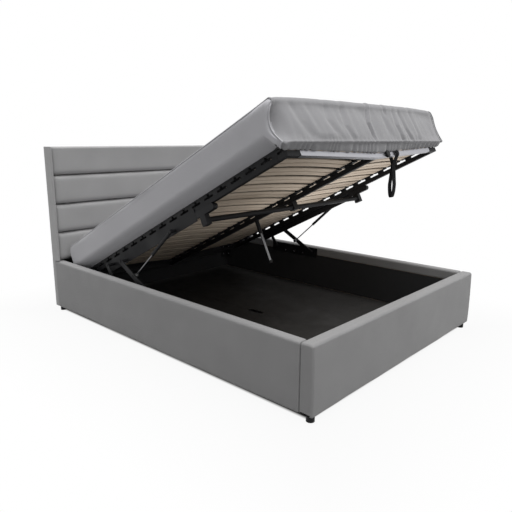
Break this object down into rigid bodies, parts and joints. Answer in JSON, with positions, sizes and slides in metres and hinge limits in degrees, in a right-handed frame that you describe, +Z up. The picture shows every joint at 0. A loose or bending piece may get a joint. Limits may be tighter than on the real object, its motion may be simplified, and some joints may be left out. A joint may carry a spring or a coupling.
{
  "type": "ottoman storage bed",
  "caption": "Upholstered ottoman storage bed with a channelled headboard; its slatted frame and mattress are lifted on gas struts over a lined storage box.",
  "frame": {"origin": "middle of the bed's footprint, on the floor that it stands on", "axes": "+X to the right seen from the foot end, +Y from the footboard to the headboard, +Z up"},
  "size_m": [1.62, 2.18, 1.304],
  "materials": {
    "cover_fabric": "woven, matte",
    "mattress_fabric": "soft woven, matte",
    "lining_fabric": "felt, matte",
    "board_wood": "raw board",
    "floor_board": "black-faced hardboard",
    "slat_wood": "bent birch ply",
    "black_steel": "powder coat, satin",
    "silver_steel": "satin",
    "strut_rod_steel": "polished",
    "black_plastic": "moulded, fine grain",
    "rubber_pad": "matte",
    "zinc_steel": "zinc plated",
    "webbing": "woven webbing"
  },
  "bodies": {
    "bed_base": {"base_bracket_bolts": "zinc_steel", "batten_feet": "black_plastic", "cavity_lining": "lining_fabric", "corner_bolts": "zinc_steel", "corner_brackets": "black_steel", "corner_feet": "black_plastic", "floor_battens": "board_wood", "floor_ledges": "board_wood", "floor_panel_left": "floor_board", "floor_panel_right": "floor_board", "footboard_board": "board_wood", "footboard_cover": "cover_fabric", "headboard_back_cloth": "lining_fabric", "headboard_board": "board_wood", "headboard_channel_1": "cover_fabric", "headboard_channel_2": "cover_fabric", "headboard_channel_3": "cover_fabric", "headboard_channel_4": "cover_fabric", "headboard_filler": "lining_fabric", "headboard_surround": "cover_fabric", "lift_base_bracket_left": "black_steel", "lift_base_bracket_right": "black_steel", "rest_brackets": "black_steel", "rest_pads": "rubber_pad", "side_rail_board_left": "board_wood", "side_rail_board_right": "board_wood", "side_rail_cover_left": "cover_fabric", "side_rail_cover_right": "cover_fabric"},
    "slatted_frame": {"lift_top_plate_left": "black_steel", "lift_top_plate_right": "black_steel", "frame_side_tube_left": "black_steel", "frame_side_tube_right": "black_steel", "frame_corners": "black_plastic", "frame_foot_tube": "silver_steel", "frame_head_tube": "black_steel", "frame_centre_tube": "black_steel", "slats_left": "slat_wood", "slats_right": "slat_wood", "slat_holders_left": "black_plastic", "slat_holders_right": "black_plastic", "slat_holders_centre": "black_plastic", "cross_tube": "black_steel", "cross_block_left": "black_plastic", "cross_block_right": "black_plastic", "cross_saddle": "black_plastic", "leg_sleeve": "black_steel", "leg_rod": "strut_rod_steel", "leg_cap": "rubber_pad", "strap_anchor": "black_plastic", "mattress": "mattress_fabric"},
    "lift_arm_left": {"lift_arm_left": "black_steel"},
    "lift_arm_right": {"lift_arm_right": "black_steel"},
    "rear_link_left": {"rear_link_left": "black_steel"},
    "rear_link_right": {"rear_link_right": "black_steel"},
    "strut_cylinder_left": {"strut_cylinder_left": "black_steel"},
    "strut_cylinder_right": {"strut_cylinder_right": "black_steel"},
    "strut_rod_left": {"strut_rod_left": "strut_rod_steel"},
    "strut_rod_right": {"strut_rod_right": "strut_rod_steel"},
    "pull_strap": {"pull_strap": "webbing"}
  },
  "joints": [
    {"name": "lift_arm_left_pivot", "type": "hinge", "parent": "bed_base", "child": "lift_arm_left", "pos_m": [-0.747, 0.0987, 0.30688], "axis": [-1, 0, 0], "range_deg": [0, 34.1]},
    {"name": "frame_pivot", "type": "hinge", "parent": "lift_arm_left", "child": "slatted_frame", "pos_m": [-0.747, 0.36358, 0.44772], "axis": [1, 0, 0], "range_deg": [0, 60.45]},
    {"name": "lift_arm_right_pivot", "type": "hinge", "parent": "bed_base", "child": "lift_arm_right", "pos_m": [0.747, 0.0987, 0.30688], "axis": [-1, 0, 0], "range_deg": [0, 34.12]},
    {"name": "rear_link_left_pivot", "type": "hinge", "parent": "bed_base", "child": "rear_link_left", "pos_m": [-0.747, 0.44504, 0.3155], "axis": [-1, 0, 0], "range_deg": [0, 64.9]},
    {"name": "strut_cylinder_left_pivot", "type": "hinge", "parent": "slatted_frame", "child": "strut_cylinder_left", "pos_m": [-0.725, -0.09755, 0.67928], "axis": [1, 0, 0], "range_deg": [0, 16.87]},
    {"name": "strut_rod_left_slide", "type": "slide", "parent": "strut_cylinder_left", "child": "strut_rod_left", "axis": [0, -0.7504, 0.661], "range_m": [0, 0.07285]},
    {"name": "rear_link_right_pivot", "type": "hinge", "parent": "bed_base", "child": "rear_link_right", "pos_m": [0.747, 0.44504, 0.3155], "axis": [-1, 0, 0], "range_deg": [0, 64.9]},
    {"name": "strut_cylinder_right_pivot", "type": "hinge", "parent": "slatted_frame", "child": "strut_cylinder_right", "pos_m": [0.725, -0.09755, 0.67928], "axis": [1, 0, 0], "range_deg": [0, 16.87]},
    {"name": "strut_rod_right_slide", "type": "slide", "parent": "strut_cylinder_right", "child": "strut_rod_right", "axis": [0, -0.7504, 0.661], "range_m": [0, 0.07285]},
    {"name": "strap_swing", "type": "hinge", "parent": "slatted_frame", "child": "pull_strap", "pos_m": [0.198, -0.842, 1.07222], "axis": [1, 0, 0], "range_deg": [-30, 45]}
  ],
  "couplings": [
    {"joint": "frame_pivot", "follows": "lift_arm_left_pivot", "ratio": 1.7721},
    {"joint": "lift_arm_right_pivot", "follows": "lift_arm_left_pivot", "ratio": 1},
    {"joint": "rear_link_left_pivot", "follows": "lift_arm_left_pivot", "ratio": 1.9026},
    {"joint": "strut_cylinder_left_pivot", "follows": "lift_arm_left_pivot", "ratio": 0.49408},
    {"joint": "strut_rod_left_slide", "follows": "lift_arm_left_pivot", "m_per_rad": 0.12231},
    {"joint": "rear_link_right_pivot", "follows": "lift_arm_left_pivot", "ratio": 1.9026},
    {"joint": "strut_cylinder_right_pivot", "follows": "lift_arm_left_pivot", "ratio": 0.49408},
    {"joint": "strut_rod_right_slide", "follows": "lift_arm_left_pivot", "m_per_rad": 0.12231}
  ]
}
